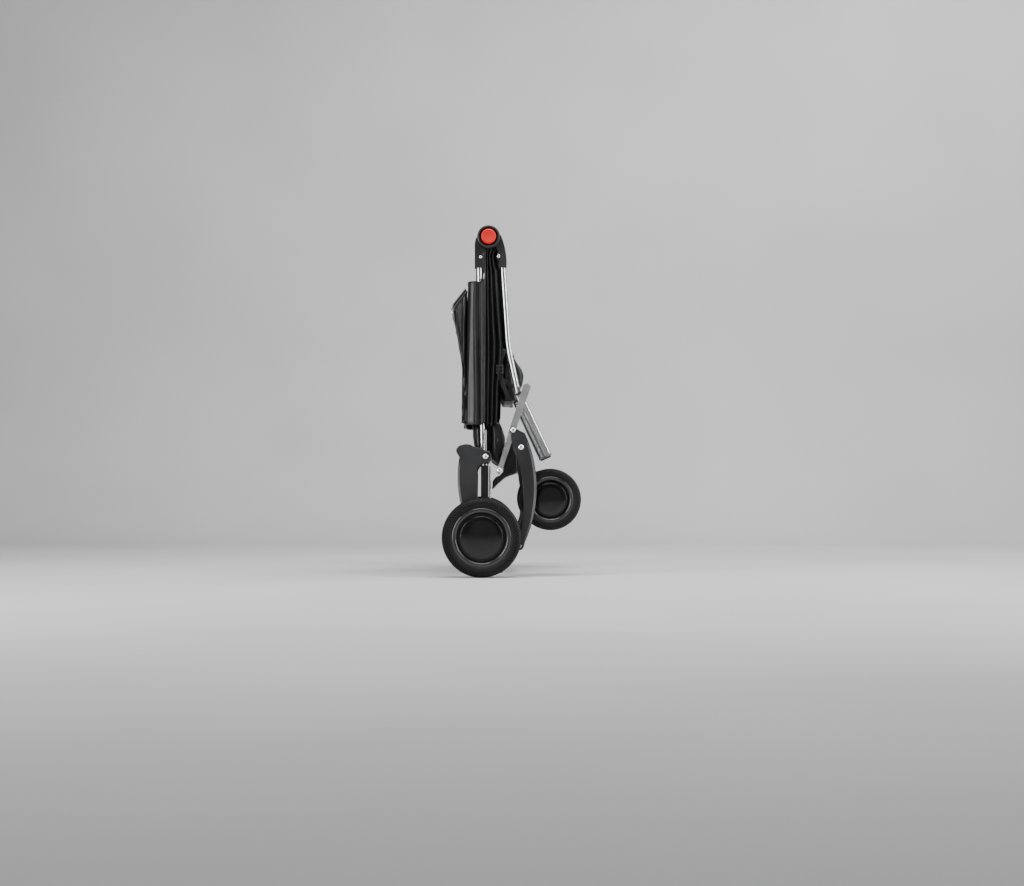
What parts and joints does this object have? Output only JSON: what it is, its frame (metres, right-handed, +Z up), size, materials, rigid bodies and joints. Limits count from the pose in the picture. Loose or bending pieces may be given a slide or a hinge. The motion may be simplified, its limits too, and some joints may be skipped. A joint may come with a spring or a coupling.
{
  "type": "folding pet stroller",
  "caption": "Folded four-wheeled pet stroller: hinged A-frame of polished tubes, packed black fabric cabin, tucked front wheels, standing on its rear wheels.",
  "frame": {"origin": "on the floor, under the middle of the rear axle, at the bottom of the stand foot", "axes": "+X forwards, towards the small wheels; +Y across the stroller, to its left as it is pushed; +Z up"},
  "size_m": [0.3645, 0.584, 0.92],
  "materials": {
    "polished_aluminium": "polished",
    "gloss_black": "gloss",
    "red_button": "gloss",
    "satin_black": "satin",
    "grip_foam": "foam",
    "grey_cap": "satin",
    "black_rubber": "matt",
    "rivet_steel": "polished",
    "axle_steel": "zinc plated",
    "tyre": "matt",
    "rim_black": "satin",
    "cap_gloss": "gloss",
    "cabin_fabric": "woven, soft sheen",
    "webbing": "woven webbing"
  },
  "bodies": {
    "rear_frame": {"handle_bar": "polished_aluminium", "handle_grip": "grip_foam", "rear_elbows": "gloss_black", "rear_tube_left": "polished_aluminium", "rear_tube_right": "polished_aluminium", "rear_arm_left": "satin_black", "rear_arm_right": "satin_black", "rear_columns": "satin_black", "axle_clamps": "satin_black", "side_rods": "polished_aluminium", "rear_rivets": "rivet_steel", "rear_axle": "axle_steel", "side_panels": "cabin_fabric", "cabin_pack": "cabin_fabric", "canopy_pack": "cabin_fabric", "lower_panel": "cabin_fabric", "gusset_rear": "cabin_fabric"},
    "front_frame": {"front_elbows": "gloss_black", "hub_housings": "gloss_black", "front_tube_left": "polished_aluminium", "front_tube_right": "polished_aluminium", "front_collars": "satin_black", "front_lower_tube_left": "polished_aluminium", "front_lower_tube_right": "polished_aluminium", "end_caps": "grey_cap", "end_tips": "black_rubber", "link_bar_left": "polished_aluminium", "link_bar_right": "polished_aluminium", "link_cross_tube": "polished_aluminium", "front_rivets": "rivet_steel", "gusset_front": "cabin_fabric", "strap_pack": "webbing", "front_pouch": "cabin_fabric", "floor_pack": "cabin_fabric", "basket_pack": "cabin_fabric"},
    "button_left": {"red_button_left": "red_button"},
    "button_right": {"red_button_right": "red_button"},
    "front_leg": {"front_leg_left": "satin_black", "front_leg_right": "satin_black", "leg_rivets": "rivet_steel"},
    "front_fork": {"fork_arm_left": "satin_black", "fork_arm_right": "satin_black", "fork_shaft": "axle_steel", "stub_axles": "axle_steel"},
    "front_wheel_left": {"front_tyre_left": "tyre", "front_rim_left": "rim_black", "front_cap_left": "cap_gloss"},
    "front_wheel_right": {"front_tyre_right": "tyre", "front_rim_right": "rim_black", "front_cap_right": "cap_gloss"},
    "rear_wheel_left": {"rear_tyre_left": "tyre", "rear_rim_left": "rim_black", "rear_cap_left": "cap_gloss"},
    "rear_wheel_right": {"rear_tyre_right": "tyre", "rear_rim_right": "rim_black", "rear_cap_right": "cap_gloss"},
    "brake": {"brake_bar": "axle_steel", "brake_pedal": "satin_black"},
    "stand": {"stand_foot": "satin_black", "stand_pad": "black_rubber"}
  },
  "joints": [
    {"name": "frame_fold", "type": "hinge", "parent": "rear_frame", "child": "front_frame", "pos_m": [0.018, 0, 0.89], "axis": [0, -1, 0], "range_deg": [0, 38]},
    {"name": "leg_fold", "type": "hinge", "parent": "front_frame", "child": "front_leg", "pos_m": [0.082, 0, 0.382], "axis": [0, -1, 0], "range_deg": [-38, 0]},
    {"name": "fork_fold", "type": "hinge", "parent": "front_leg", "child": "front_fork", "pos_m": [0.099, 0, 0.08], "axis": [0, 1, 0], "range_deg": [0, 145]},
    {"name": "front_wheel_spin_left", "type": "hinge", "parent": "front_fork", "child": "front_wheel_left", "pos_m": [0.1805, 0, 0.201], "axis": [0, 1, 0], "continuous": true},
    {"name": "front_wheel_spin_right", "type": "hinge", "parent": "front_fork", "child": "front_wheel_right", "pos_m": [0.1805, 0, 0.201], "axis": [0, 1, 0], "continuous": true},
    {"name": "rear_wheel_spin_left", "type": "hinge", "parent": "rear_frame", "child": "rear_wheel_left", "pos_m": [0, 0, 0.103], "axis": [0, 1, 0], "continuous": true},
    {"name": "rear_wheel_spin_right", "type": "hinge", "parent": "rear_frame", "child": "rear_wheel_right", "pos_m": [0, 0, 0.103], "axis": [0, 1, 0], "continuous": true},
    {"name": "fold_button_left", "type": "slide", "parent": "front_frame", "child": "button_left", "axis": [0, -1, 0], "range_m": [0, 0.004], "stiffness_N_per_m": 400},
    {"name": "fold_button_right", "type": "slide", "parent": "front_frame", "child": "button_right", "axis": [0, 1, 0], "range_m": [0, 0.004], "stiffness_N_per_m": 400},
    {"name": "brake_press", "type": "hinge", "parent": "rear_frame", "child": "brake", "pos_m": [-0.026, 0, 0.15], "axis": [0, -1, 0], "range_deg": [0, 18]},
    {"name": "stand_swing", "type": "hinge", "parent": "rear_frame", "child": "stand", "pos_m": [0, 0, 0.103], "axis": [0, 1, 0], "range_deg": [0, 85]}
  ],
  "couplings": [
    {"joint": "leg_fold", "follows": "frame_fold", "ratio": -1},
    {"joint": "fork_fold", "follows": "frame_fold", "ratio": 3.8158}
  ]
}
